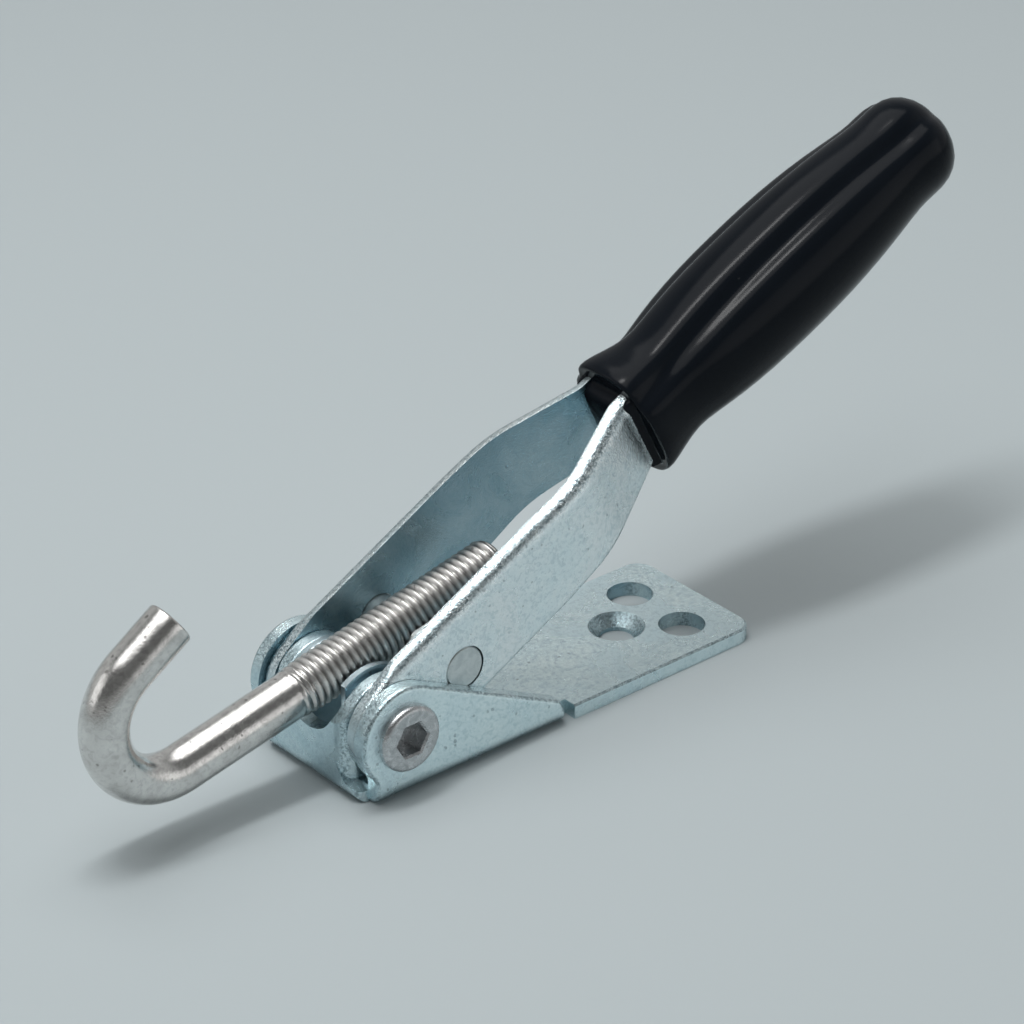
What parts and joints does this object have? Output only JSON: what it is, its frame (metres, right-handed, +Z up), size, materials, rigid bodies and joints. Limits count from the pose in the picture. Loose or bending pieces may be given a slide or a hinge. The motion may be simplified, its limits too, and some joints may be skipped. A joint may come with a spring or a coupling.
{
  "type": "over centre toggle latch",
  "caption": "Over centre toggle latch: folded steel base, hand lever with a black grip, and an adjustable threaded hook bolt on a swivel block.",
  "frame": {"origin": "on the underside of the base, straight below the handle pivot, on the middle plane", "axes": "+X runs back along the base to the fixing holes and the hook reaches towards -X; +Y to the far side; +Z up from the mounting surface"},
  "size_m": [0.2036, 0.0376, 0.0912],
  "materials": {
    "zinc_sheet": "bright zinc plated, satin",
    "zinc_lever": "bright zinc plated, satin",
    "plated_screw": "plated, slightly grained",
    "plated_nut": "zinc plated",
    "black_grip": "glossy moulded plastic",
    "turned_steel": "turned and zinc plated",
    "bright_bolt": "bright drawn steel, polished shank"
  },
  "bodies": {
    "base": {"base_plate": "zinc_sheet", "near_pivot_screw": "plated_screw", "far_pivot_screw": "plated_screw", "near_pivot_nut": "plated_nut", "far_pivot_nut": "plated_nut"},
    "handle": {"near_lever_arm": "zinc_lever", "far_lever_arm": "zinc_lever", "grip": "black_grip"},
    "swivel": {"swivel_block": "turned_steel"},
    "bolt": {"hook_bolt": "bright_bolt"}
  },
  "joints": [
    {"name": "handle_pivot", "type": "hinge", "parent": "base", "child": "handle", "pos_m": [0, 0, 0.0125], "axis": [0, -1, 0], "range_deg": [-25, 62]},
    {"name": "swivel_pivot", "type": "hinge", "parent": "handle", "child": "swivel", "pos_m": [0.01594, 0, 0.01914], "axis": [0, -1, 0], "range_deg": [-37, 15]},
    {"name": "bolt_adjust", "type": "slide", "parent": "swivel", "child": "bolt", "axis": [-0.9785, 0, -0.2062], "range_m": [-0.0075, 0.012]}
  ],
  "couplings": [
    {"joint": "swivel_pivot", "follows": "handle_pivot", "ratio": -0.58}
  ]
}
